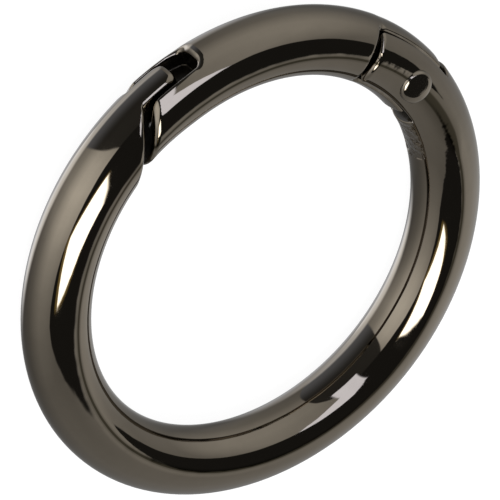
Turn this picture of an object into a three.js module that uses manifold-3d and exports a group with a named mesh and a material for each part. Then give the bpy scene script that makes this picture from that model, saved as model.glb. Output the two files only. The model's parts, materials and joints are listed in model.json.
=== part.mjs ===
// Spring-gate ring: a round bar ring with a hinged, sprung gate that opens inwards.
// Millimetres, +Z up. The ring lies flat on z = 0, centred on the Z axis. The hinge is at
// -X, and the gate runs from there to its latch on the -Y side.
// Solids are built about the bar's centre plane, and each mesh is then raised.
import * as THREE from "three";
import { mergeVertices } from "three/addons/utils/BufferGeometryUtils.js";
import Module from "manifold-3d";

const wasm = await Module();
wasm.setup();

// ---- the bar ----
const RING_RADIUS = 16.5; // centre line: 28 mm inside, 38 mm outside
const BAR_RADIUS = 2.5;
const LAND_HEIGHT = 2.4; // polished flat lands, above and below the centre plane
const RING_STEPS = 120;
const BAR_STEPS = 26;
const ROUND_STEPS = 40;

// ---- hinge; lengths along Y are measured from the pin ----
const HINGE_X = -RING_RADIUS;
const SLOT_HALF_WIDTH = 1.3; // slot between the two cheeks of the body
const SLOT_END = 3.45;
const CHEEK_RADIUS = 4.5; // round cheek ends, about the pin
const HEEL_RADIUS = 4.9; // hollow shoulder of the gate that faces them
const KNUCKLE_HALF_WIDTH = 1.15;
const KNUCKLE_OUTER_END = 1.9;
const KNUCKLE_INNER_END = 2.25; // this corner meets the slot's end when the gate is open
const POCKET_HALF_WIDTH = 0.75; // channel for the spring, open towards the ring's middle
const POCKET_WALL = 1.42;
const POCKET_END = 4.3;

// ---- latch ----
const LATCH_RADIUS = 22.6; // joint between gate and body, about the hinge pin
const LATCH_GAP = 0.4;
const TONGUE_HALF_WIDTH = 1.1;
const TONGUE_FLOOR = 0.8; // underside of the tongue, out from the bar's centre line
const TONGUE_TIP = -109.6; // degrees round the ring
const TONGUE_CORNER = 0.6;
const SEAT_HALF_WIDTH = 1.43; // slot in the gate that takes the tongue
const SEAT_FLOOR = 0.7;
const SEAT_END = -115.5;
const SEAT_MOUTH = -80; // well past the gate's end

// ---- rivet ----
const PIN_RADIUS = 0.75;
const CHEEK_BORE_RADIUS = 0.8;
const GATE_BORE_RADIUS = 0.83;
const HEAD_RADIUS = 1.27;
const HEAD_RIM = 0.12;
const DOME_HEIGHT = 0.5;
const SPOT_FACE_HEIGHT = 2.2;
const SPOT_FACE_RADIUS = 1.42;
const SEAT_CLEARANCE = 0.05;
const TAIL_RADIUS = 1.2;
const TAIL_DEPTH = 0.45;

// ---- torsion spring ----
const WIRE_RADIUS = 0.2;
const COIL_RADIUS = 1.18;
const COIL_TURNS = 2;
const COIL_PITCH = 0.44;
const COIL_STEPS = 18; // in each turn
const WIRE_SIDES = 8;
const GATE_LEG = 3.9;
const BODY_LEG = 4.3;
const LEG_HOLE_HALF = 0.3;
const LEG_HOLE_END = 4.6;

const FAR = 50; // beyond any surface of the ring
const plating = { color: 0x6e675c, roughness: 0.08, metalness: 1 };
const springSteel = { color: 0x8a8780, roughness: 0.3, metalness: 1 };

// ---- from geometry to solid and back ----
function solid(geometry) {
  const bare = geometry.clone();
  bare.deleteAttribute("normal");
  bare.deleteAttribute("uv");
  const merged = mergeVertices(bare, 1e-5);
  const mesh = new wasm.Mesh({
    numProp: 3,
    vertProperties: new Float32Array(merged.attributes.position.array),
    triVerts: new Uint32Array(merged.index.array),
  });
  return new wasm.Manifold(mesh);
}

function subpart(name, body, finish) {
  const { vertProperties, triVerts } = body.getMesh();
  const geometry = new THREE.BufferGeometry();
  geometry.setAttribute("position", new THREE.BufferAttribute(vertProperties, 3));
  geometry.setIndex(new THREE.BufferAttribute(triVerts, 1));
  geometry.computeVertexNormals();
  const mesh = new THREE.Mesh(geometry, new THREE.MeshStandardMaterial(finish));
  mesh.name = name;
  mesh.position.z = LAND_HEIGHT;
  return mesh;
}

// A box from its low corner to its high corner.
function block(low, high) {
  const size = high.map((value, i) => value - low[i]);
  const box = new THREE.BoxGeometry(...size);
  box.translate(...low.map((value, i) => value + size[i] / 2));
  return solid(box);
}

// A solid turned about the vertical axis at x, from points of radius and height.
function turned(points, x = HINGE_X, steps = ROUND_STEPS) {
  const outline = points.map(([radius, height]) => new THREE.Vector2(radius, height));
  const lathe = new THREE.LatheGeometry(outline, steps);
  lathe.rotateX(Math.PI / 2);
  lathe.translate(x, 0, 0);
  return solid(lathe);
}

function disc(radius, low = -FAR, high = FAR, x = HINGE_X, steps = ROUND_STEPS) {
  const outline = [
    [0, low],
    [radius, low],
    [radius, high],
    [0, high],
  ];
  return turned(outline, x, steps);
}

// A flat outline in X and Y, between two heights.
function plate(shape, low, high) {
  const settings = { depth: high - low, bevelEnabled: false, curveSegments: 12 };
  const body = new THREE.ExtrudeGeometry(shape, settings);
  body.translate(0, 0, low);
  return solid(body);
}

// ---- shared shapes ----
function barRing() {
  const landAngle = Math.asin(LAND_HEIGHT / BAR_RADIUS);
  const half = BAR_STEPS / 2;
  const outline = [];
  for (let i = 0; i < BAR_STEPS; i += 1) {
    const side = i < half ? 0 : Math.PI;
    const angle = side - landAngle + (2 * landAngle * (i % half)) / (half - 1);
    outline.push([
      RING_RADIUS + BAR_RADIUS * Math.cos(angle),
      BAR_RADIUS * Math.sin(angle),
    ]);
  }
  outline.push(outline[0]);
  return turned(outline, 0, RING_STEPS);
}

// What the gate takes of the ring in plan, between two arcs about the hinge pin.
function gateZone(heelRadius, latchRadius) {
  const reach = disc(latchRadius, -FAR, FAR, HINGE_X, RING_STEPS);
  const below = block([-FAR, -FAR, -FAR], [RING_RADIUS, 0, FAR]);
  return reach.intersect(below).subtract(disc(heelRadius));
}

// Everything outside a cylinder about the ring's own axis.
function beyond(radius) {
  const core = disc(radius, -FAR, FAR, 0, 2 * RING_STEPS);
  return block([-FAR, -FAR, -FAR + 1], [FAR, FAR, FAR - 1]).subtract(core);
}

// ---- ring body ----
function latchTongue(bar) {
  const across = TONGUE_HALF_WIDTH;
  const flat = across - TONGUE_CORNER;
  const root = -0.4 * RING_RADIUS; // back inside the body, beyond the joint
  const shape = new THREE.Shape();
  shape.moveTo(root, -across);
  shape.lineTo(-TONGUE_CORNER, -across);
  shape.absarc(-TONGUE_CORNER, -flat, TONGUE_CORNER, -Math.PI / 2, 0, false);
  shape.absarc(-TONGUE_CORNER, flat, TONGUE_CORNER, 0, Math.PI / 2, false);
  shape.lineTo(root, across);
  shape.closePath();
  const tip = THREE.MathUtils.degToRad(TONGUE_TIP);
  const along = new THREE.Vector3(Math.sin(tip), -Math.cos(tip), 0);
  const outward = new THREE.Vector3(Math.cos(tip), Math.sin(tip), 0);
  const down = new THREE.Vector3(0, 0, -1);
  const place = new THREE.Matrix4().makeBasis(along, down, outward);
  place.setPosition(outward.multiplyScalar(RING_RADIUS));
  const strip = plate(shape, 0, 2 * BAR_RADIUS).transform(place.elements);
  return bar.intersect(strip).intersect(beyond(RING_RADIUS + TONGUE_FLOOR));
}

// The rivet's countersunk tail, grown all over by a clearance.
function rivetTail(clearance, bottom) {
  const top = -LAND_HEIGHT + TAIL_DEPTH + clearance;
  return turned([
    [0, bottom],
    [TAIL_RADIUS + clearance, bottom],
    [TAIL_RADIUS + clearance, -LAND_HEIGHT + SEAT_CLEARANCE + clearance],
    [PIN_RADIUS, top],
    [0, top],
  ]);
}

function ringBody(bar) {
  const slot = block(
    [HINGE_X - 2 * BAR_RADIUS, -2 * CHEEK_RADIUS, -SLOT_HALF_WIDTH],
    [HINGE_X + 2 * BAR_RADIUS, SLOT_END, SLOT_HALF_WIDTH],
  );
  const legX = HINGE_X - COIL_RADIUS;
  const legZ = (-COIL_TURNS * COIL_PITCH) / 2;
  const legHole = block(
    [legX - LEG_HOLE_HALF, SLOT_END - LEG_HOLE_HALF, legZ - LEG_HOLE_HALF],
    [legX + LEG_HOLE_HALF, LEG_HOLE_END, legZ + LEG_HOLE_HALF],
  );
  return bar
    .subtract(gateZone(CHEEK_RADIUS, LATCH_RADIUS + LATCH_GAP / 2))
    .subtract(slot)
    .subtract(legHole)
    .subtract(disc(CHEEK_BORE_RADIUS))
    .subtract(disc(SPOT_FACE_RADIUS, SPOT_FACE_HEIGHT, FAR))
    .subtract(rivetTail(SEAT_CLEARANCE, -FAR))
    .add(latchTongue(bar));
}

// ---- gate ----
function latchSeat() {
  const shape = new THREE.Shape();
  const from = THREE.MathUtils.degToRad(SEAT_END);
  const to = THREE.MathUtils.degToRad(SEAT_MOUTH);
  const reach = 2 * RING_RADIUS;
  shape.moveTo(0, 0);
  shape.lineTo(reach * Math.cos(from), reach * Math.sin(from));
  shape.absarc(0, 0, reach, from, to, false);
  shape.closePath();
  const wedge = plate(shape, -SEAT_HALF_WIDTH, SEAT_HALF_WIDTH);
  return wedge.intersect(beyond(RING_RADIUS + SEAT_FLOOR));
}

// Two lugs round the pin, joined by a web along the ring's outer side.
function gateKnuckle(bar) {
  const shape = new THREE.Shape();
  shape.moveTo(-2 * BAR_RADIUS, -HEEL_RADIUS - 1);
  shape.lineTo(2 * BAR_RADIUS, -HEEL_RADIUS - 1);
  shape.lineTo(2 * BAR_RADIUS, KNUCKLE_INNER_END);
  shape.lineTo(BAR_RADIUS, KNUCKLE_INNER_END);
  shape.lineTo(-BAR_RADIUS, KNUCKLE_OUTER_END);
  shape.lineTo(-2 * BAR_RADIUS, KNUCKLE_OUTER_END);
  shape.closePath();
  const lugs = plate(shape, -KNUCKLE_HALF_WIDTH, KNUCKLE_HALF_WIDTH);
  const pocket = block(
    [HINGE_X - POCKET_WALL, -POCKET_END, -POCKET_HALF_WIDTH],
    [HINGE_X + 2 * BAR_RADIUS, POCKET_END, POCKET_HALF_WIDTH],
  );
  return lugs
    .translate(HINGE_X, 0, 0)
    .intersect(bar)
    .subtract(pocket)
    .subtract(disc(GATE_BORE_RADIUS));
}

function gate(bar) {
  return bar
    .intersect(gateZone(HEEL_RADIUS, LATCH_RADIUS - LATCH_GAP / 2))
    .subtract(latchSeat())
    .add(gateKnuckle(bar));
}

// ---- rivet ----
function hingeRivet() {
  const seat = SPOT_FACE_HEIGHT + SEAT_CLEARANCE;
  const sphere = (HEAD_RADIUS ** 2 + DOME_HEIGHT ** 2) / (2 * DOME_HEIGHT);
  const reach = Math.asin(HEAD_RADIUS / sphere);
  const steps = 8;
  const outline = [
    [0, -LAND_HEIGHT + SEAT_CLEARANCE],
    [TAIL_RADIUS, -LAND_HEIGHT + SEAT_CLEARANCE],
    [PIN_RADIUS, -LAND_HEIGHT + TAIL_DEPTH],
    [PIN_RADIUS, seat],
    [HEAD_RADIUS, seat],
  ];
  for (let i = 0; i <= steps; i += 1) {
    const angle = reach * (1 - i / steps);
    const height = seat + HEAD_RIM + DOME_HEIGHT - sphere * (1 - Math.cos(angle));
    outline.push([i < steps ? sphere * Math.sin(angle) : 0, height]);
  }
  return turned(outline);
}

// ---- spring: two turns round the rivet, one leg along the gate, one into the body ----
function torsionSpring() {
  const top = (COIL_TURNS * COIL_PITCH) / 2;
  const points = [new THREE.Vector3(-COIL_RADIUS, -GATE_LEG, top)];
  for (let i = 0; i <= COIL_TURNS * COIL_STEPS; i += 1) {
    const turn = i / COIL_STEPS;
    const angle = Math.PI - 2 * Math.PI * turn;
    points.push(
      new THREE.Vector3(
        COIL_RADIUS * Math.cos(angle),
        COIL_RADIUS * Math.sin(angle),
        top - COIL_PITCH * turn,
      ),
    );
  }
  points.push(new THREE.Vector3(-COIL_RADIUS, BODY_LEG, -top));
  const path = new THREE.CatmullRomCurve3(points, false, "centripetal");
  const section = new THREE.Shape();
  section.absarc(0, 0, WIRE_RADIUS, 0, 2 * Math.PI, false);
  const wire = new THREE.ExtrudeGeometry(section, {
    steps: 3 * COIL_TURNS * COIL_STEPS,
    extrudePath: path,
    curveSegments: WIRE_SIDES / 2,
  });
  wire.translate(HINGE_X, 0, 0);
  return solid(wire);
}

const ring = new THREE.Group();
const bar = barRing();
ring.add(subpart("ring_body", ringBody(bar), plating));
ring.add(subpart("gate", gate(bar), plating));
ring.add(subpart("hinge_rivet", hingeRivet(), plating));
ring.add(subpart("torsion_spring", torsionSpring(), springSteel));

export default ring;
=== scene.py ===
"""Spring-gate ring: fine castings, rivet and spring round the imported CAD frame, in a small studio."""
import json
import math

import bpy
import numpy as np
from mathutils import Matrix, Vector


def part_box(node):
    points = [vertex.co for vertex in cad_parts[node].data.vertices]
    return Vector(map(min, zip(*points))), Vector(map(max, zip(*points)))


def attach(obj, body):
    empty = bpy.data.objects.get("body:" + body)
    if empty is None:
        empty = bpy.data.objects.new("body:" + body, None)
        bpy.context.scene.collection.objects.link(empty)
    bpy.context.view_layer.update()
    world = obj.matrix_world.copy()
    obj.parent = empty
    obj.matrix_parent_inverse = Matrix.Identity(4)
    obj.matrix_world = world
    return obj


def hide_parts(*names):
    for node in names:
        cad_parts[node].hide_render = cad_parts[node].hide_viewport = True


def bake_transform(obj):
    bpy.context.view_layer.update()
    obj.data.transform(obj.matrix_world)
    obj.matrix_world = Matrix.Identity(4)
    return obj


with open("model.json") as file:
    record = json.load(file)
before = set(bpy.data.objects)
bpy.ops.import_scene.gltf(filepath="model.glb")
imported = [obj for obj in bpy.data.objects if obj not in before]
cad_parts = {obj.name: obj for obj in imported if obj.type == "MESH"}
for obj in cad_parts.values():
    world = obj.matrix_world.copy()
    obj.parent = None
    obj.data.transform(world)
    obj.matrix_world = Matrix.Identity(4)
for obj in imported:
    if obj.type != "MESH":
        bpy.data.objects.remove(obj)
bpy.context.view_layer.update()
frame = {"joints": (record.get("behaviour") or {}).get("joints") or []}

# ---- sizes in millimetres, from the frame where it gives them ----
# HALF is half a height or width, ROUND is a radius, and EDGE is how round an edge is.
MM = 0.001
body_low, body_high = (np.array(corner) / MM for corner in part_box("ring_body"))
hinge = next(j for j in frame["joints"] if j["name"] == "gate_hinge")
HINGE_X, _, MIDDLE_Z = (value / MM for value in hinge["pos_m"])
RING = -HINGE_X  # radius of the bar's centre line
BAR_WIDE = body_high[0] - RING  # half the bar's width, across the ring
BAR_TALL = (body_high[2] - body_low[2]) / 2  # half its height
BAR_LEAN = 0.1  # its crown lies this much inside the centre line
LAND_TALL = BAR_TALL - 0.008  # the crown is dressed flat here
LAND_EDGE = 0.01

# the hinge: the gate lies on the -y side of the pin and the body on the +y side
SLOT_HALF = 1.4  # slot between the two cheeks
SLOT_END = 2.9  # where it ends on the bar's outer side
SLOT_DEEP = 3.15  # and on its inner side
SLOT_CORNER = 0.2
CHEEK_ROUND = 4.5  # the cheeks end in an arc about the pin
CHEEK_SLOPE = 0.5  # and in a sloping line outside it
CHEEK_FILLET = 0.4
HEEL_ROUND = 5.15  # hollow end of the gate, round the cheeks
HEEL_SHIFT = 0.7  # its centre lies this far outside the pin
HEEL_EASE = 0.02  # the lug inside it lies this much under the bar's surface
KNUCKLE_HALF = 1.17  # lug of the gate, between the cheeks
KNUCKLE_END = 2.0  # past the pin it ends flat
KNUCKLE_ROUND = 2.85  # with sides round the pin
KNUCKLE_CORNER = 0.3
POCKET_HALF = 0.72  # room for the spring inside the knuckle
POCKET_ROUND = 1.45
LEG_HOLE = 0.28  # radius of the hole for the spring's leg
LEG_HOLE_END = 4.1  # how far the hole runs into the gate
OPENING = math.radians(42)  # how far the spring's leg swings in the pocket
CHEEK_BORE = 0.8
GATE_BORE = 0.83

COIL = 1.18  # the torsion spring: radius of its coil
COIL_HALF = 0.44
COIL_TURNS = 2
WIRE = 0.2  # the wire's radius
GATE_LEG = 3.9  # how far each leg reaches from the pin
BODY_LEG = 4.25

SHANK = 0.77  # the rivet: radius of its shank
HEAD_ROUND = 1.26
HEAD_EDGE = 0.48  # width of the head's rounded rim
HEAD_EDGE_FLAT = 0.6  # its height over its width
HEAD_CROWN = 12  # radius of the low dome
HEAD_TOP = BAR_TALL + 0.24
HEAD_LEAN = 0.06  # slope of the head along y
HEAD_ACROSS, HEAD_ALONG = 0.26, 0.17  # the head was formed a little off the pin's axis
HEAD_WIDER = [0.3, 0.42]  # towards x and y its rim is wider by these shares
SPOT_FACE = HEAD_ROUND - 0.15  # the head is pressed into the casting
SPOT_HEIGHT = 2.0
SPOT_EDGE = 0.03
TAIL_RADIUS = 1.2  # countersunk tail
TAIL_DEPTH = 0.45
TAIL_GAP = 0.05  # its cone in the casting is deeper by this much

# the latch, opposite: angles are round the ring
BODY_LATCH = 22.8  # end faces at the latch, about the hinge pin
GATE_LATCH = 22.15
TONGUE_HALF = 1.03
TONGUE_TIP = math.radians(-109.4)
TONGUE_LONG = 5
TONGUE_FLOOR = 0.85  # its inner face, outside the bar's centre line
TONGUE_CORNER = 0.5
TONGUE_FILLET = 0.15
TONGUE_FLOOR_EDGE = 0.08
SEAT_HALF = 1.4  # slot of the gate, in which the tongue lies
SEAT_SIDE = 0.07  # it is cut a little below the middle
SEAT_END = math.radians(-114.9)
SEAT_FLOOR = 0.6
SEAT_CORNER = 0.45
SEAT_FLOOR_EDGE = 0.15
SEAT_NARROWS = 0.7  # share of its end's extra roundness by which it is narrower there
GATE_REST = math.radians(-0.42)  # the shut gate stands a little proud at its latch
TIP_RELIEF = 0.18  # the gate's end is this much thinner on the ring's inner side
TIP_START, TIP_FULL = 18, 22.4  # distances from the pin between which that comes in

EDGE = 0.38  # rounding of the castings' outer edges
SHOULDER_EDGE = 0.5
TONGUE_EDGE = 0.15
TONGUE_TIP_EDGE = 0.42
SEAT_EDGE = 0.26
SEAT_END_EDGE = 0.6
INNER_EDGE = 0.16
KNUCKLE_EDGE = 0.08
POCKET_EDGE = 0.08

CAST_HALF = 1.3  # shallow unpolished patch on the inner side, past the slot
CAST_MIDDLE = 4.7
CAST_REACH = 1.9
CAST_DEPTH = 0.07
CAST_CORNER = 0.4
CAST_EDGE = 0.04

SHADE_CUT_FROM, SHADE_CUT_ALL = 12, 16  # the latch's half of the ring, by distance from the pin, where the painted recess shade is cut back

LAYERS = 18  # cells from the bar's centre line to its surface
FINE_TURN = math.radians(11)  # an edge of the mesh is halved if the surface turns more
FINE_LENGTH = 0.05  # and it is longer


# ---- distance functions: negative inside a solid ----
def smooth_both(a, b, radius):
    """Where two solids share space, with the edge between them rounded."""
    corner = np.hypot(np.maximum(a + radius, 0), np.maximum(b + radius, 0)) - radius
    return np.where((a > -radius) & (b > -radius), corner, np.maximum(a, b))


def smooth_join(a, b, radius):
    """Either solid, with a fillet between them."""
    return -smooth_both(-a, -b, radius)


def ramp(value, low, high):
    """From 0 at low to 1 at high, level at both ends."""
    share = np.clip((value - low) / (high - low), 0, 1)
    return share * share * (3 - 2 * share)


def between(first, second, share):
    """The first value where the share is 0, the second where it is 1."""
    return first + (second - first) * share


def bar(x, y, z):
    """The round bar: an oval section swept round the ring."""
    out = np.hypot(x, y) - RING + BAR_LEAN * (z / BAR_TALL) ** 2
    scaled = np.hypot(out / BAR_WIDE, z / BAR_TALL)
    slope = np.hypot(out / BAR_WIDE**2, z / BAR_TALL**2) / np.maximum(scaled, 1e-6)
    return smooth_both((scaled - 1) / np.maximum(slope, 1e-3), np.abs(z) - LAND_TALL, LAND_EDGE)


def from_pin(x, y):
    """Distance from the hinge pin's axis."""
    return np.hypot(x - HINGE_X, y)


def along(x, y, angle):
    """Distance along the bar from a place on it."""
    return -math.sin(angle) * x + math.cos(angle) * y


def ring_body(x, y, z):
    """The C-shaped body: the bar with cheeks at one end and the latch tongue at the other."""
    pin = from_pin(x, y)
    gate_room = np.maximum(np.maximum(-cheeks(x, y), pin - BODY_LATCH), y)
    outline = smooth_join(-gate_room, latch_tongue(x, y, z), TONGUE_FILLET)
    solid = smooth_both(bar(x, y, z), outline, body_edge(x, y, z))
    solid = smooth_both(solid, -cheek_slot(x, y, z), INNER_EDGE)
    patch = np.maximum(cast_patch(x, y, z), -bar(x, y, z) - CAST_DEPTH)
    solid = smooth_both(solid, -patch, CAST_EDGE)
    solid = np.maximum(solid, CHEEK_BORE - pin)
    head = np.hypot(x - HINGE_X - HEAD_ACROSS, y - HEAD_ALONG)
    solid = smooth_both(solid, -np.maximum(head - SPOT_FACE, SPOT_HEIGHT - z), SPOT_EDGE)
    cone = (pin - TAIL_RADIUS - (-BAR_TALL - z)) * math.sqrt(0.5)
    return np.maximum(solid, -np.maximum(cone, z + BAR_TALL - TAIL_DEPTH - TAIL_GAP))


def cheeks(x, y):
    """Outline of the cheeks: an arc about the pin, and a sloping end outside it."""
    slope_end = (-CHEEK_ROUND - y + CHEEK_SLOPE * (x - HINGE_X)) * 0.87  # near a true distance
    outer_end = np.maximum(x - HINGE_X, slope_end)
    return smooth_join(from_pin(x, y) - CHEEK_ROUND, outer_end, CHEEK_FILLET)


def cheek_slot(x, y, z):
    """The slot between the cheeks, deeper on the bar's inner side."""
    end = between(SLOT_DEEP, SLOT_END, ramp(HINGE_X - x, -1, 1))
    slot = smooth_both(np.abs(z) - SLOT_HALF, y - end, SLOT_CORNER)
    return np.maximum(slot, x - HINGE_X / 2)


def body_edge(x, y, z):
    """How round the outer edges are: most at the latch's shoulder, least along its tongue."""
    tip = ramp(-along(x, y, TONGUE_TIP), -0.9, -0.3)
    beside = ramp(np.abs(z), 1.15, 2.0)
    at_latch = ramp(from_pin(x, y), 15, 18)
    latch = between(between(TONGUE_EDGE, TONGUE_TIP_EDGE, tip), SHOULDER_EDGE, beside)
    return between(EDGE, latch, at_latch)


def cast_patch(x, y, z):
    """Where the inner side was left as cast, past the slot."""
    outer = np.maximum(np.hypot(x, y) - RING, x)
    sides = np.maximum(np.abs(z) - CAST_HALF, outer)
    return smooth_both(sides, np.abs(y - CAST_MIDDLE) - CAST_REACH, CAST_CORNER)


def latch_tongue(x, y, z):
    """The tongue that lies in the gate's seat, on the bar's outer side."""
    ahead = along(x, y, TONGUE_TIP)
    solid = smooth_both(np.abs(z) - TONGUE_HALF, -ahead, TONGUE_CORNER)
    solid = np.maximum(solid, ahead - TONGUE_LONG)
    return smooth_both(solid, RING + TONGUE_FLOOR - np.hypot(x, y), TONGUE_FLOOR_EDGE)


def gate(x, y, z):
    """The gate: the bar with a knuckle round the spring and a slotted end at the latch."""
    pin = from_pin(x, y)
    inward = ramp(-(np.hypot(x, y) - RING) / BAR_WIDE, 0.1, 0.9)
    heel = HEEL_ROUND - np.hypot(x - HINGE_X + HEEL_SHIFT, y)
    tip = TIP_RELIEF * ramp(pin, TIP_START, TIP_FULL) * inward
    section = bar(x, y, z) + tip + HEEL_EASE * ramp(heel, 0, 0.4)
    length = np.maximum(np.maximum(heel, pin - GATE_LATCH), y)
    outline = smooth_join(length, gate_knuckle(x, y, z), INNER_EDGE)
    solid = smooth_both(section, outline, between(EDGE, KNUCKLE_EDGE, ramp(heel, 0, 0.5)))
    solid = smooth_both(solid, -spring_pocket(x, y, z), POCKET_EDGE)
    solid = np.maximum(solid, GATE_BORE - pin)
    ahead = along(x, y, SEAT_END)
    edge = between(SEAT_END_EDGE, SEAT_EDGE, ramp(ahead, 0.0, 1.5))
    return smooth_both(solid, -latch_seat(x, y, z, ahead, edge), edge)


def gate_knuckle(x, y, z):
    """The tongue of the hinge, between the cheeks."""
    end = np.where(y > 0, from_pin(x, y), 0) - KNUCKLE_ROUND
    end = smooth_both(y - KNUCKLE_END, end, KNUCKLE_CORNER)
    return np.maximum(np.maximum(np.abs(z) - KNUCKLE_HALF, end), -y - HEEL_ROUND - 1)


def latch_seat(x, y, z, ahead, edge):
    """The slot for the tongue, narrower where its edge is rounder."""
    narrower = SEAT_NARROWS * (edge - SEAT_EDGE)
    seat = smooth_both(np.abs(z + SEAT_SIDE) - SEAT_HALF + narrower, -ahead, SEAT_CORNER)
    return smooth_both(seat, RING + SEAT_FLOOR - np.hypot(x, y), SEAT_FLOOR_EDGE)


def spring_pocket(x, y, z):
    """Room for the coil, a hole for its leg in the gate, and a way out for the leg that swings."""
    across = x - HINGE_X
    wall = across * math.cos(OPENING) - y * math.sin(OPENING) + POCKET_ROUND - LEG_HOLE
    swing = np.maximum(np.maximum(wall - POCKET_ROUND, -across - POCKET_ROUND), -y)
    room = np.minimum(from_pin(x, y) - POCKET_ROUND, swing)
    room = np.maximum(room, np.abs(z) - POCKET_HALF)
    leg = np.hypot(across + COIL, z - COIL_HALF) - LEG_HOLE
    leg = np.maximum(leg, np.maximum(y, -y - LEG_HOLE_END))
    return np.minimum(room, leg)


# ---- from distance function to mesh ----
def bar_lattice(angles, layers):
    """Points round the bar: one slice per angle, each a disc of nested rings of cells."""
    step = 1 / (layers + 0.5)
    across = np.arange(-layers - 2, layers + 3) * step
    a, b = np.meshgrid(across, across, indexing="ij")
    wide = np.abs(a) > np.abs(b)
    size = np.where(wide, a, b)
    safe = np.where(size == 0, 1, size)
    turn = np.where(wide, b / safe, 2 - a / safe) * math.pi / 4
    out = RING + BAR_WIDE * size * np.cos(turn)
    tall = BAR_TALL * size * np.sin(turn)
    angle = np.asarray(angles)[:, None, None]
    shape = (len(angles), *out.shape)
    points = (out * np.cos(angle), out * np.sin(angle), np.broadcast_to(tall, shape))
    return np.stack(points, axis=-1)


def stretches(*parts):
    """Angles in radians from runs of (start, end, step) in degrees."""
    runs = [np.linspace(a, b, round((b - a) / s), endpoint=False) for a, b, s in parts]
    return np.radians(np.concatenate([*runs, [parts[-1][1]]]))


def corner_slices(shape, offset):
    """Picks one corner of every cell of the lattice."""
    return tuple(slice(o, n - 1 + o) for o, n in zip(offset, shape))


def cell_vertices(points, values):
    """One vertex in each cell that the surface crosses, and each cell's vertex number."""
    shape = values.shape
    inside = values < 0
    total = np.zeros((*(n - 1 for n in shape), 3))
    count = np.zeros(total.shape[:3])
    for axis in range(3):
        others = [k for k in range(3) if k != axis]
        for flags in ((0, 0), (0, 1), (1, 0), (1, 1)):
            start = [0, 0, 0]
            for k, flag in zip(others, flags):
                start[k] = flag
            end = list(start)
            end[axis] = 1
            one = corner_slices(shape, start)
            two = corner_slices(shape, end)
            crossed = inside[one] != inside[two]
            gap = np.where(crossed, values[one] - values[two], 1)
            share = (values[one] / gap)[..., None]
            point = points[one] + share * (points[two] - points[one])
            total += np.where(crossed[..., None], point, 0)
            count += crossed
    used = count > 0
    index = np.full(used.shape, -1)
    index[used] = np.arange(used.sum())
    return total[used] / count[used][:, None], index


def cell_faces(inside, index):
    """A quad across each edge of the lattice that the surface crosses."""
    faces = []
    for axis in range(3):
        j, k = [(axis + 1) % 3, (axis + 2) % 3]
        one = [slice(None)] * 3
        two = [slice(None)] * 3
        one[axis] = slice(0, -1)
        two[axis] = slice(1, None)
        for other in (j, k):
            one[other] = two[other] = slice(1, -1)
        first, second = inside[tuple(one)], inside[tuple(two)]
        at = np.argwhere(first != second)
        forward = first[tuple(at.T)]
        corners = []
        for dj, dk in ((0, 0), (1, 0), (1, 1), (0, 1)):
            cell = at.copy()
            cell[:, j] += dj
            cell[:, k] += dk
            corners.append(index[tuple(cell.T)])
        quads = np.stack(corners, axis=1)
        faces.append(np.where(forward[:, None], quads, quads[:, ::-1]))
    return np.concatenate(faces)


def gradient(distance, points, reach=0.004):
    """How a distance function changes along x, y and z."""
    slopes = []
    for axis in range(3):
        ahead, behind = points.copy(), points.copy()
        ahead[:, axis] += reach
        behind[:, axis] -= reach
        slopes.append((distance(*ahead.T) - distance(*behind.T)) / (2 * reach))
    return np.stack(slopes, axis=1)


def settle(distance, points, longest=0.06):
    """Moves points onto the surface, by short steps."""
    for _ in range(4):
        slope = gradient(distance, points)
        steep = np.maximum((slope**2).sum(axis=1), 0.25)
        move = -(distance(*points.T) / steep)[:, None] * slope
        length = np.linalg.norm(move, axis=1, keepdims=True)
        points = points + move * np.minimum(1, longest / np.maximum(length, 1e-9))
    return points


def facing(distance, points):
    """The surface's direction at points on it."""
    normals = gradient(distance, points)
    return normals / np.maximum(np.linalg.norm(normals, axis=1, keepdims=True), 1e-9)


def triangles(quads, normals):
    """Each quad cut along the diagonal over which the surface turns less."""
    a, b, c, d = (normals[quads[:, k]] for k in range(4))
    first = (np.einsum("ij,ij->i", a, c) > np.einsum("ij,ij->i", b, d))[:, None]
    one = np.where(first, quads[:, [0, 1, 2]], quads[:, [0, 1, 3]])
    two = np.where(first, quads[:, [0, 2, 3]], quads[:, [1, 2, 3]])
    return np.concatenate([one, two])


def refine(distance, vertices, faces):
    """Halves each edge over which the surface turns too far, laying its middle on the surface."""
    normals = facing(distance, vertices)
    ends = np.sort(faces[:, [0, 1, 1, 2, 2, 0]].reshape(-1, 2), axis=1)
    edges, at = np.unique(ends, axis=0, return_inverse=True)
    a, b = edges.T
    alike = np.einsum("ij,ij->i", normals[a], normals[b])
    length = np.linalg.norm(vertices[a] - vertices[b], axis=1)
    halved = (alike < math.cos(FINE_TURN)) & (length > FINE_LENGTH)
    middle = np.full(len(edges), -1)
    middle[halved] = len(vertices) + np.arange(halved.sum())
    points = settle(distance, (vertices[a] + vertices[b])[halved] / 2)
    return np.concatenate([vertices, points]), cut(faces, middle[at.reshape(-1)].reshape(-1, 3))


def cut(faces, middles):
    """Triangles cut at the middles of their edges; a middle of -1 stands for an uncut edge."""
    count = (middles >= 0).sum(axis=1)
    made = [faces[count == 0]]
    for shift in range(3):
        v, m = np.roll(faces, shift, axis=1), np.roll(middles, shift, axis=1)
        one = (count == 1) & (m[:, 0] >= 0)
        made += [np.stack([v[one, 0], m[one, 0], v[one, 2]], 1)]
        made += [np.stack([m[one, 0], v[one, 1], v[one, 2]], 1)]
        two = (count == 2) & (m[:, 2] < 0)
        made += [np.stack([m[two, 0], v[two, 1], m[two, 1]], 1)]
        made += [np.stack([v[two, 0], m[two, 0], m[two, 1]], 1)]
        made += [np.stack([v[two, 0], m[two, 1], v[two, 2]], 1)]
    v, m = faces[count == 3], middles[count == 3]
    made += [np.stack([v[:, k], m[:, k], m[:, k - 1]], 1) for k in range(3)]
    return np.concatenate([*made, m])


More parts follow.
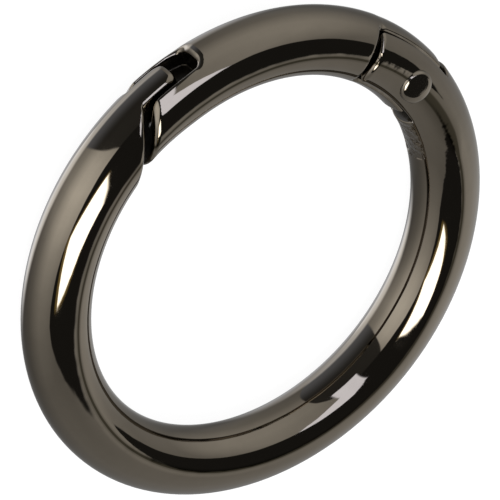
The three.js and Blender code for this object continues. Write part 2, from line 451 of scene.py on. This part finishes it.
def solid_mesh(distance, angles):
    """Fine triangles on the surface of a distance function, facing outwards."""
    lattice = bar_lattice(angles, LAYERS)
    flat = lattice.reshape(-1, 3)
    values = distance(*flat.T).reshape(lattice.shape[:3])
    vertices, index = cell_vertices(lattice, values)
    quads = cell_faces(values < 0, index)
    vertices = settle(distance, vertices)
    faces = triangles(quads, facing(distance, vertices))
    for _ in range(2):
        vertices, faces = refine(distance, vertices, faces)
    normals = facing(distance, vertices)
    a, b, c = (vertices[faces[:, k]] for k in range(3))
    if np.einsum("ij,ij->", np.cross(b - a, c - a), normals[faces[:, 0]]) < 0:
        faces = faces[:, ::-1]
    return vertices, faces, normals


def surface_marks(vertices, normals, latch_shade_cut):
    """Where the plate lies in a recess, which gets painted shade, is worn along an edge, or covers the
    casting's own skin.

    Each is 0 to 1. It follows the depth under the round bar's surface, in millimetres.
    """
    depth = -bar(*vertices.T)
    away = 1 - np.einsum("ij,ij->i", normals, gradient(bar, vertices))
    edge = ramp(away, 0.04, 0.25) * (1 - ramp(depth, 0.12, 0.3))
    cast = ramp(-cast_patch(*vertices.T), 0.02, 0.2) * (1 - ramp(depth, 0.15, 0.3))
    cast = cast * ramp(vertices[:, 1], SLOT_END + 0.35, SLOT_END + 0.7)
    at_latch = ramp(from_pin(*vertices.T[:2]), SHADE_CUT_FROM, SHADE_CUT_ALL)
    # painted shade: the deeper a recess, the darker its colour, less so at the latch
    recess = ramp(depth, 0.2, 0.6) * (1 - latch_shade_cut * at_latch)
    return {"recess": recess, "edge": edge, "as_cast": cast}


def casting(name, distance, angles, turn=0.0, latch_shade_cut=0.0):
    """The mesh of a distance function, turned about the pin; the painted shade in its recesses may be
    cut back at the latch.
    """
    vertices, faces, normals = solid_mesh(distance, angles)
    marks = surface_marks(vertices, normals, latch_shade_cut)
    spin = np.array(Matrix.Rotation(turn, 3, "Z"))
    pin = np.array([HINGE_X, 0, 0])
    vertices = (vertices - pin) @ spin.T + pin + np.array([0, 0, MIDDLE_Z])
    piece = mesh_object(name, vertices, faces.tolist(), normals @ spin.T)
    for mark, values in marks.items():
        layer = piece.data.attributes.new(mark, "FLOAT", "POINT")
        layer.data.foreach_set("value", np.asarray(values, dtype=np.float32))
    return piece


def mesh_object(name, vertices, faces, normals=None):
    """A smooth object in the scene, from vertices in millimetres."""
    data = bpy.data.meshes.new(name)
    data.from_pydata((vertices * MM).tolist(), [], faces)
    data.update()
    data.shade_smooth()
    if normals is not None:
        data.normals_split_custom_set_from_vertices(normals.tolist())
    piece = bpy.data.objects.new(name, data)
    bpy.context.scene.collection.objects.link(piece)
    return piece


# ---- turned and drawn pieces ----
def arc(centre, radius, start, end, steps):
    """Points on an arc between two angles in degrees."""
    angles = np.radians(np.linspace(start, end, steps))
    return np.stack([centre[0] + radius * np.cos(angles), centre[1] + radius * np.sin(angles)], 1)


def rivet(sides=96):
    """The rivet's outline, turned about the hinge pin, with its head set a little askew."""
    outline = np.asarray(rivet_outline())
    radii, heights = outline[1:-1, 0][:, None], outline[1:-1, 1][:, None]
    angles = np.arange(sides) * 2 * math.pi / sides
    across = HINGE_X + radii * np.cos(angles)
    rings = np.stack([across, radii * np.sin(angles), np.repeat(heights, sides, axis=1)], axis=-1)
    ends = [[HINGE_X, 0, outline[0, 1]], [HINGE_X, 0, outline[-1, 1]]]
    vertices = np.concatenate([rings.reshape(-1, 3), ends])
    count = len(radii)
    last = (count - 1) * sides
    faces = []
    for i in range(sides):
        n = (i + 1) % sides
        faces.append([count * sides, n, i])
        faces.append([count * sides + 1, last + i, last + n])
        for k in range(0, last, sides):
            faces.append([k + i, k + n, k + sides + n, k + sides + i])
    vertices += head_shift(vertices)
    return mesh_object("hinge_rivet_domed", vertices + np.array([0, 0, MIDDLE_Z]), faces)


def rivet_outline():
    """Radius and height, from the countersunk tail up to the top of the low dome."""
    seat = SPOT_HEIGHT + 0.02
    drop = (HEAD_ROUND - HEAD_EDGE) ** 2 / (2 * HEAD_CROWN)
    dome = math.degrees(math.asin((HEAD_ROUND - HEAD_EDGE) / HEAD_CROWN))
    rim = arc((HEAD_ROUND - HEAD_EDGE, 0), HEAD_EDGE, 0, 90, 12) * [1, HEAD_EDGE_FLAT]
    return [
        [0, -BAR_TALL + 0.03],
        [TAIL_RADIUS - 0.1, -BAR_TALL + 0.03],
        [TAIL_RADIUS, -BAR_TALL + 0.08],
        [SHANK, -BAR_TALL + TAIL_DEPTH],
        [SHANK, seat],
        [HEAD_ROUND - 0.04, seat],
        [HEAD_ROUND, seat + 0.04],
        *(rim + [0, HEAD_TOP - drop - HEAD_EDGE_FLAT * HEAD_EDGE]),
        *arc((0, HEAD_TOP - HEAD_CROWN), HEAD_CROWN, 90 - dome, 90, 10)[1:-1],
        [0, HEAD_TOP],
    ]


def head_shift(vertices):
    """How far each vertex moves: the head lies off the axis and askew, its rim wider on one side."""
    head = vertices[:, 2] > SPOT_HEIGHT + 0.1
    arm = vertices[:, :2] - [HINGE_X, 0]
    reach = np.maximum(np.linalg.norm(arm, axis=1), 1e-6)
    crown = HEAD_ROUND - HEAD_EDGE
    wide = 1 + arm @ HEAD_WIDER / reach
    rim = HEAD_ROUND - (HEAD_ROUND - reach) * wide
    inner = reach * (HEAD_ROUND - HEAD_EDGE * wide) / crown
    scale = np.where(head, np.where(reach > crown, rim, inner) / reach, 1)[:, None]
    share = (vertices[:, 2] > SPOT_HEIGHT)[:, None]
    shift = arm * (scale - 1) + share * [HEAD_ACROSS, HEAD_ALONG]
    return np.column_stack([shift, HEAD_LEAN * vertices[:, 1] * head])


def spring():
    """A leg along the gate, the coil round the pin, and a leg into the body."""
    share = np.linspace(0, 1, 40 * COIL_TURNS + 1)
    angle = math.pi - 2 * math.pi * COIL_TURNS * share
    height = COIL_HALF - 2 * COIL_HALF * share
    coil = np.stack([COIL * np.cos(angle), COIL * np.sin(angle), height], 1)
    gate_leg = [[-COIL, y, COIL_HALF] for y in np.linspace(-GATE_LEG, -0.1, 10)]
    body_leg = [[-COIL, y, -COIL_HALF] for y in np.linspace(0.1, BODY_LEG, 10)]
    return swept("torsion_spring_wire", np.concatenate([gate_leg, coil, body_leg]), WIRE)


def swept(name, path, radius, sides=16):
    """A round wire along a path near the hinge pin, with rounded ends."""
    tangent = np.gradient(path, axis=0)
    tangent /= np.linalg.norm(tangent, axis=1, keepdims=True)
    side = np.cross(tangent, [0, 0, 1.0])
    side /= np.linalg.norm(side, axis=1, keepdims=True)
    over = np.cross(side, tangent)
    angles = np.arange(sides) * 2 * math.pi / sides
    caps = [(math.cos(a), math.sin(a)) for a in np.radians([75, 45, 15])]
    rings = [(0, scale, -reach) for scale, reach in caps]
    rings += [(k, 1.0, 0.0) for k in range(len(path))]
    rings += [(len(path) - 1, scale, reach) for scale, reach in reversed(caps)]
    vertices = []
    for k, scale, reach in rings:
        centre = path[k] + tangent[k] * reach * radius
        circle = np.cos(angles)[:, None] * side[k] + np.sin(angles)[:, None] * over[k]
        vertices.append(centre + circle * radius * scale)
    faces = []
    last = (len(rings) - 1) * sides
    for k in range(0, last, sides):
        for i in range(sides):
            n = (i + 1) % sides
            faces.append([k + i, k + sides + i, k + sides + n, k + n])
    faces.append(list(range(sides)))
    faces.append([last + i for i in reversed(range(sides))])
    place = np.array([HINGE_X, 0, MIDDLE_Z])
    return mesh_object(name, np.concatenate(vertices) + place, faces)


# ---- shader nodes, made in few words ----
class Graph:
    """The node tree of a material or of the world."""

    def __init__(self, tree):
        self.tree = tree

    def node(self, kind, inputs=(), **settings):
        node = self.tree.nodes.new("ShaderNode" + kind)
        for key, value in settings.items():
            setattr(node, key, value)
        for socket, value in dict(inputs).items():
            if isinstance(value, bpy.types.NodeSocket):
                self.tree.links.new(value, node.inputs[socket])
            else:
                node.inputs[socket].default_value = value
        return node

    def math(self, operation, *values):
        return self.node("Math", enumerate(values), operation=operation).outputs[0]

    def vector(self, operation, first, second=None):
        """A vector node; its sockets are found by name, Vector for directions and Value for sizes."""
        inputs = {0: first} if second is None else {0: first, 1: second}
        return self.node("VectorMath", inputs, operation=operation).outputs

    def soft_step(self, value, low, high, start=0.0, end=1.0):
        inputs = {"Value": value, "From Min": low, "From Max": high, "To Min": start, "To Max": end}
        return self.node("MapRange", inputs, interpolation_type="SMOOTHSTEP").outputs[0]

    def noise(self, where, scale, detail=2.0, roughness=0.5):
        inputs = {"Vector": where, "Scale": scale, "Detail": detail, "Roughness": roughness}
        return self.node("TexNoise", inputs).outputs[0]

    def mix(self, share, first, second):
        inputs = {0: share, 6: first, 7: second}
        return self.node("Mix", inputs, data_type="RGBA").outputs[2]

    def painted(self, mark):
        """A mark that was laid on the mesh's vertices."""
        return self.node("Attribute", attribute_name=mark).outputs["Fac"]

    def all_but(self, light, mask):
        """The light outside a mask of 0 to 1."""
        return self.math("MULTIPLY", light, self.math("SUBTRACT", 1, mask))

    def curve(self, value, points, low, high, most):
        """A value looked up between points, each a (place, level)."""
        place = self.math("DIVIDE", self.math("SUBTRACT", value, low), high - low)
        node = self.node("ValToRGB", {0: place})
        stops = node.color_ramp.elements
        while len(stops) < len(points):
            stops.new(0.5)
        for stop, (at, level) in zip(stops, points):
            stop.position = (at - low) / (high - low)
            stop.color = (level / most,) * 3 + (1,)
        return self.math("MULTIPLY", node.outputs[0], most)


# ---- materials: their lengths are in metres ----
def on_bar(angle, section_angle):
    """A place on the bar's surface in metres."""
    turn, tilt = math.radians(angle), math.radians(section_angle)
    reach = RING + BAR_WIDE * math.cos(tilt)
    height = MIDDLE_Z + BAR_TALL * math.sin(tilt)
    return (reach * math.cos(turn) * MM, reach * math.sin(turn) * MM, height * MM)


def near(graph, where, place, inner, outer):
    """1 close to a place, falling to 0 at the outer distance."""
    gap = graph.vector("DISTANCE", where, place)["Value"]
    return graph.soft_step(gap, inner, outer, 1, 0)


LINE_REACH = RING - 0.18  # radius of the painted dark reflection line, in millimetres
LINE_SWAY = (0.0042, -0.005, 0)  # share of x and y by which that varies round the ring
LINE_WIDE_AT = on_bar(167, 94)  # it is widest here, beside the rivet
# rippled places, each with the distances at which the ripples begin to fade and are gone
RIPPLED = [(on_bar(156, 110), 0.0018, 0.0042), (on_bar(-171, 84), 0.0008, 0.0022)]


def painted_reflection_line(graph, where, cloud):
    """A painted reflection: the fine dark line all round the top of the ring, by its flat crown,
    standing in for the dark its polished step would reflect.
    """
    parts = graph.node("SeparateXYZ", {0: where}).outputs
    flat = graph.node("CombineXYZ", {0: parts[0], 1: parts[1]}).outputs[0]
    reach = graph.vector("LENGTH", flat)["Value"]
    sway = graph.vector("DOT_PRODUCT", where, LINE_SWAY)["Value"]
    sway = graph.math("ADD", graph.math("MULTIPLY", cloud, 0.00012), sway)
    gap = graph.math("ADD", graph.math("SUBTRACT", reach, LINE_REACH * MM), sway)
    gap = graph.math("ABSOLUTE", gap)
    wide = graph.math("MULTIPLY", near(graph, where, LINE_WIDE_AT, 0.002, 0.005), 3)
    gap = graph.math("DIVIDE", gap, graph.math("ADD", 1, wide))
    core = graph.soft_step(gap, 0.00006, 0.00013, 0.95, 0)
    line = graph.math("MAXIMUM", core, graph.soft_step(gap, 0.00006, 0.00028, 0.5, 0))
    return graph.math("MULTIPLY", line, graph.math("GREATER_THAN", parts[2], MIDDLE_Z * MM))


def plate_tint(graph, where, colour, worn, tarnish, recess, wear, reflection_line):
    """Cloudy plate, browner where tarnished, darkened by painted shade in recesses, paler where worn,
    and with a painted dark reflection line on the crown when asked for.
    """
    cloud = graph.noise(where, 160, 3)
    tint = graph.mix(cloud, colour, tuple(c * 1.14 for c in colour[:3]) + (1,))
    tint = graph.mix(graph.math("MULTIPLY", tarnish, 0.1), tint, (0.1, 0.085, 0.066, 1))
    # painted shade: recesses darkened nearly to black
    tint = graph.mix(graph.math("MULTIPLY", recess, 0.9), tint, (0.02, 0.017, 0.013, 1))
    tint = graph.mix(wear, tint, worn)
    # painted reflection: a fine dark line along the ring's crown
    if reflection_line:
        tint = graph.mix(painted_reflection_line(graph, where, cloud), tint, (0.03, 0.025, 0.015, 1))
    return tint


def plate_roughness(graph, where, smooth, tarnish, recess, wear, cast):
    """Mirror-like, with specks of dust, and duller where tarnished, worn, recessed or as cast."""
    dust = graph.soft_step(graph.noise(where, 2600, 2, 0.7), 0.62, 0.76, 0, 0.03)
    rough = graph.math("ADD", graph.soft_step(tarnish, 0, 1, smooth, smooth + 0.03), dust)
    for mark, duller in ((recess, 0.3), (wear, 0.1), (cast, 0.07)):
        rough = graph.math("ADD", rough, graph.math("MULTIPLY", mark, duller))
    return rough


def plate_bump(graph, where, waviness, recess, cast):
    """Long polishing waves and fine grain, ripples at two places, and pits where it is as cast."""
    ripple = graph.math("MAXIMUM", *(near(graph, where, *spot) for spot in RIPPLED))
    wave = graph.math("SUBTRACT", graph.noise(where, 300, 2, 0.4), 0.5)
    grain = graph.math("SUBTRACT", graph.noise(where, 3200, 3, 0.6), 0.5)
    skin = graph.math("SUBTRACT", graph.noise(where, 1900, 1, 0.4), 0.5)
    height = graph.math("ADD", graph.math("MULTIPLY", wave, 4), graph.math("MULTIPLY", grain, 0.03))
    bumpy = graph.math("ADD", graph.math("MULTIPLY", ripple, 0.8), graph.math("MULTIPLY", recess, 2))
    height = graph.math("ADD", height, graph.math("MULTIPLY", skin, bumpy))
    inputs = {"Height": height, "Strength": 0.25 * waviness, "Distance": 0.00002}
    polished = graph.node("Bump", inputs).outputs[0]
    pits = graph.noise(where, 1600, 2, 0.5)
    inputs = {"Height": pits, "Strength": cast, "Distance": 0.00028, "Normal": polished}
    return graph.node("Bump", inputs).outputs[0]


def plating(name, colour, worn, smooth=0.03, waviness=1.0, reflection_line=False):
    """Polished black-nickel plate over a die casting, rough where no wheel reaches."""
    material = bpy.data.materials.new(name)
    material.use_nodes = True
    graph = Graph(material.node_tree)
    shader = material.node_tree.nodes["Principled BSDF"]
    where = graph.node("TexCoord").outputs["Object"]
    recess, edge, cast = (graph.painted(mark) for mark in ("recess", "edge", "as_cast"))
    tarnish = graph.soft_step(graph.noise(where, 620, 4, 0.6), 0.42, 0.72)
    patchy = graph.soft_step(graph.noise(where, 900, 3, 0.6), 0.45, 0.65, 0, 0.4)
    wear = graph.math("MULTIPLY", edge, patchy)
    made = {
        "Base Color": plate_tint(graph, where, colour, worn, tarnish, recess, wear, reflection_line),
        "Roughness": plate_roughness(graph, where, smooth, tarnish, recess, wear, cast),
        "Normal": plate_bump(graph, where, waviness, recess, cast),
    }
    for socket, value in made.items():
        material.node_tree.links.new(value, shader.inputs[socket])
    shader.inputs["Metallic"].default_value = 1
    return material


# ---- make the pieces ----
body_angles = stretches(
    (-113, -88, 0.45), (-88, -76, 1), (-76, 146, 2.5), (146, 164, 0.8), (164, 200, 0.45)
)
gate_angles = stretches((168, 202, 0.45), (202, 238, 2), (238, 280, 0.45))
body_piece = casting("ring_body_cast", ring_body, body_angles, latch_shade_cut=0.5)
gate_piece = casting("gate_cast", gate, gate_angles, turn=GATE_REST)
rivet_piece = rivet()
spring_piece = spring()

# the ring's plate carries the painted dark reflection line
plate = plating("black_nickel_plate", (0.158, 0.137, 0.108, 1), (0.3, 0.27, 0.23, 1), reflection_line=True)
head = plating("black_nickel_rivet", (0.172, 0.15, 0.12, 1), (0.34, 0.31, 0.27, 1), 0.07, 0.7)
wire = plating("spring_wire_steel", (0.4, 0.385, 0.36, 1), (0.5, 0.48, 0.45, 1), 0.2, 0.5)
body_piece.data.materials.append(plate)
gate_piece.data.materials.append(plate)
rivet_piece.data.materials.append(head)
spring_piece.data.materials.append(wire)

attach(body_piece, "body")
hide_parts("ring_body")
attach(gate_piece, "gate")
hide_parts("gate")
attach(rivet_piece, "body")
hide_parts("hinge_rivet")
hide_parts("torsion_spring")
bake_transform(spring_piece)


# ---- camera: it looks down on the ring from the front, and is rolled about its own axis ----
ELEVATION = math.radians(44.8)
ROLL = math.radians(128.65)
LENS = 864  # in millimetres
DISTANCE = 0.8454  # in metres
AIM_LEFT, AIM_UP = 0.000164, 0.0001  # what it aims at, in metres from the ring's middle


def long_lens():
    """The camera, from far enough away that the ring hardly narrows with distance."""
    back = Vector((0, -math.cos(ELEVATION), math.sin(ELEVATION)))
    level = Vector((1, 0, 0))
    rise = back.cross(level)
    right = level * math.cos(ROLL) + rise * math.sin(ROLL)
    up = back.cross(right)
    target = Vector((0, 0, MIDDLE_Z * MM)) - right * AIM_LEFT + up * AIM_UP
    data = bpy.data.cameras.new("camera")
    data.lens = LENS
    data.clip_start = 0.01
    data.clip_end = 10
    camera = bpy.data.objects.new("camera", data)
    camera.matrix_world = Matrix((right, up, back)).transposed().to_4x4()
    camera.location = target + back * DISTANCE
    bpy.context.scene.collection.objects.link(camera)
    return camera


bpy.context.scene.camera = long_lens()


# ---- studio: soft boxes and grey walls round the object, seen only in its reflections ----
# A direction is (azimuth, elevation) in degrees; azimuth 0 is +X and 90 is +Y. The lists are
# given: the corners of each box, and levels or heights of the walls round the room.
KEY_BOX = [(-71, 68.5), (-40, 51), (0, 52), (39, 70), (68, 73)]
SPILL_BOX = [(-74, 66), (-41, 46.5), (-4, 47), (34, 66), (68, 73)]
STRIP_BOX = [(-179, 63.4), (-163, 62.4), (-121, 52.4), (-114, 65.3), (-118, 72.4), (-153, 78.6)]
SIDE_BOX = [(-128, 56), (-123, 32), (-106, 33.5), (-114, 72)]
BLACK_FLAG = [(-124, 50), (-145, -64), (-78, -64), (-84, 0), (-89.5, 50)]
WALL_LIGHT = [
    (-180, 1.02), (-160, 1.0), (-140, 0.9), (-122, 0.72), (-90, 1.1), (-80, 1.75), (-66, 2.0),
    (-52, 1.7), (-40, 1.2), (-24, 0.8), (-6, 0.55), (14, 0.42), (45, 0.46), (80, 0.6), (95, 0.95),
    (107, 0.9), (118, 0.65), (132, 0.52), (150, 0.56), (165, 0.85), (180, 1.02),
]  # fmt: skip
WALL_TOP = [
    (-180, 63), (-150, 64), (-126, 58), (-122, 48), (-90, 47), (-65, 49), (-50, 48), (-20, 40),
    (-5, 36), (5, 38), (25, 45), (55, 49), (85, 46), (106, 45), (110, 42), (113, 33.5), (120, 31),
    (128, 32), (140, 40), (155, 49), (170, 57), (180, 63),
]  # fmt: skip
WALL_FADE = [  # by elevation
    (-90, 0.5), (-60, 0.35), (-30, 0.52), (-10, 0.8), (6, 1), (25, 1), (40, 0.9), (60, 0.8), (90, 0.8),
]  # fmt: skip
FLOOR_LIGHT = [(-180, 0.9), (-142, 1.3), (-95, 1.8), (-60, 2.6), (20, 2.5), (70, 0.8), (180, 0.9)]
DARKEST = 0.04  # what even the unlit parts of the room send back


def ray(azimuth, elevation):
    """A direction as a vector."""
    turn, lift = math.radians(azimuth), math.radians(elevation)
    across = math.cos(lift)
    return Vector((math.cos(turn) * across, math.sin(turn) * across, math.sin(lift)))


def softbox(graph, direction, corners, soft):
    """Where a direction looks into a box of light, from its corners in order."""
    rays = [ray(*corner) for corner in corners]
    share = None
    for first, second in zip(rays, rays[1:] + rays[:1]):
        inward = first.cross(second).normalized()
        dot = graph.vector("DOT_PRODUCT", direction, inward)["Value"]
        side = graph.soft_step(dot, -soft / 2, soft / 2)
        share = side if share is None else graph.math("MULTIPLY", share, side)
    return share


def grey_walls(graph, azimuth, elevation):
    """The walls' light by azimuth, fading with elevation up to their top edge."""
    walls = graph.curve(azimuth, WALL_LIGHT, -180, 180, 2.1)
    walls = graph.math("MULTIPLY", walls, graph.curve(elevation, WALL_FADE, -90, 90, 1))
    above = graph.math("SUBTRACT", elevation, graph.curve(azimuth, WALL_TOP, -180, 180, 90))
    return graph.math("MULTIPLY", walls, graph.soft_step(above, -1, 1, 1, 0))


def coloured(graph, light, colour):
    """A level of light, given a colour."""
    grey = graph.node("CombineXYZ", {0: light, 1: light, 2: light}).outputs[0]
    return graph.vector("MULTIPLY", grey, colour)["Vector"]


def room_light(graph, direction):
    """All the light of the room by direction: walls, soft boxes, floor and the flag's faint sheen."""
    parts = graph.node("SeparateXYZ", {0: direction}).outputs
    azimuth = graph.math("DEGREES", graph.math("ARCTAN2", parts[1], parts[0]))
    elevation = graph.math("DEGREES", graph.math("ARCSINE", parts[2]))
    flag = softbox(graph, direction, BLACK_FLAG, 0.02)
    strip = softbox(graph, direction, STRIP_BOX, 0.02)
    strips = graph.math("MAXIMUM", strip, softbox(graph, direction, SIDE_BOX, 0.02))
    below = graph.soft_step(elevation, -68, -54, 1, 0)
    walls = grey_walls(graph, azimuth, elevation)
    for mask in (graph.math("MULTIPLY", flag, 0.95), strips, below):
        walls = graph.all_but(walls, mask)
    walls = graph.math("ADD", walls, DARKEST)
    sheen = graph.math("MULTIPLY", flag, graph.soft_step(elevation, -55, -5, 0.35, 0))
    ground = graph.math("MULTIPLY", graph.curve(azimuth, FLOOR_LIGHT, -180, 180, 2.6), below)
    key = softbox(graph, direction, KEY_BOX, 0.03)
    spill = graph.all_but(softbox(graph, direction, SPILL_BOX, 0.04), key)
    lights = [
        (strips, (3.1, 3.3, 4.1)),
        (key, (9, 9, 9)),
        (spill, (0.6, 0.45, 0.14)),
        (ground, (0.98, 1.0, 1.06)),
        (sheen, (0.85, 0.95, 1.2)),
    ]
    seen = coloured(graph, walls, (1, 1, 1))
    for light, colour in lights:
        seen = graph.vector("ADD", seen, coloured(graph, light, colour))["Vector"]
    return seen


def studio():
    """The room for reflections; the camera and matt surfaces see plain white."""
    world = bpy.data.worlds.new("studio")
    world.use_nodes = True
    graph = Graph(world.node_tree)
    seen = room_light(graph, graph.node("TexCoord").outputs["Generated"])
    path = graph.node("LightPath").outputs
    plain = graph.math("MAXIMUM", path["Is Camera Ray"], path["Is Diffuse Ray"])
    seen = graph.mix(plain, seen, (1, 1, 1, 1))
    world.node_tree.links.new(seen, world.node_tree.nodes["Background"].inputs["Color"])
    return world


bpy.context.scene.world = studio()


# ---- pale floor: lit from inside enough that only a faint shadow lies on it ----
FLOOR_ROUND = 1000
FLOOR_Z = -0.01  # just under the ring's lower flat


def white_paper():
    """Matt white from above, and not there from below."""
    paper = bpy.data.materials.new("white_paper")
    paper.use_nodes = True
    graph = Graph(paper.node_tree)
    shader = paper.node_tree.nodes["Principled BSDF"]
    shader.inputs["Base Color"].default_value = (0.14, 0.14, 0.14, 1)
    shader.inputs["Roughness"].default_value = 1
    shader.inputs["Specular IOR Level"].default_value = 0
    shader.inputs["Emission Color"].default_value = (1, 1, 1, 1)
    shader.inputs["Emission Strength"].default_value = 0.93
    nothing = graph.node("BsdfTransparent").outputs[0]
    under = graph.node("NewGeometry").outputs["Backfacing"]
    face = graph.node("MixShader", {0: under, 1: shader.outputs[0], 2: nothing}).outputs[0]
    paper.node_tree.links.new(face, paper.node_tree.nodes["Material Output"].inputs["Surface"])
    return paper


turns = np.arange(64) * math.pi / 32
across, ahead = FLOOR_ROUND * np.cos(turns), FLOOR_ROUND * np.sin(turns)
rim = np.stack([across, ahead, np.full_like(turns, FLOOR_Z)], axis=1)
floor = mesh_object("floor", rim, [list(range(64))])
floor.data.materials.append(white_paper())
floor.visible_glossy = False

bpy.context.scene.view_settings.view_transform = "Standard"
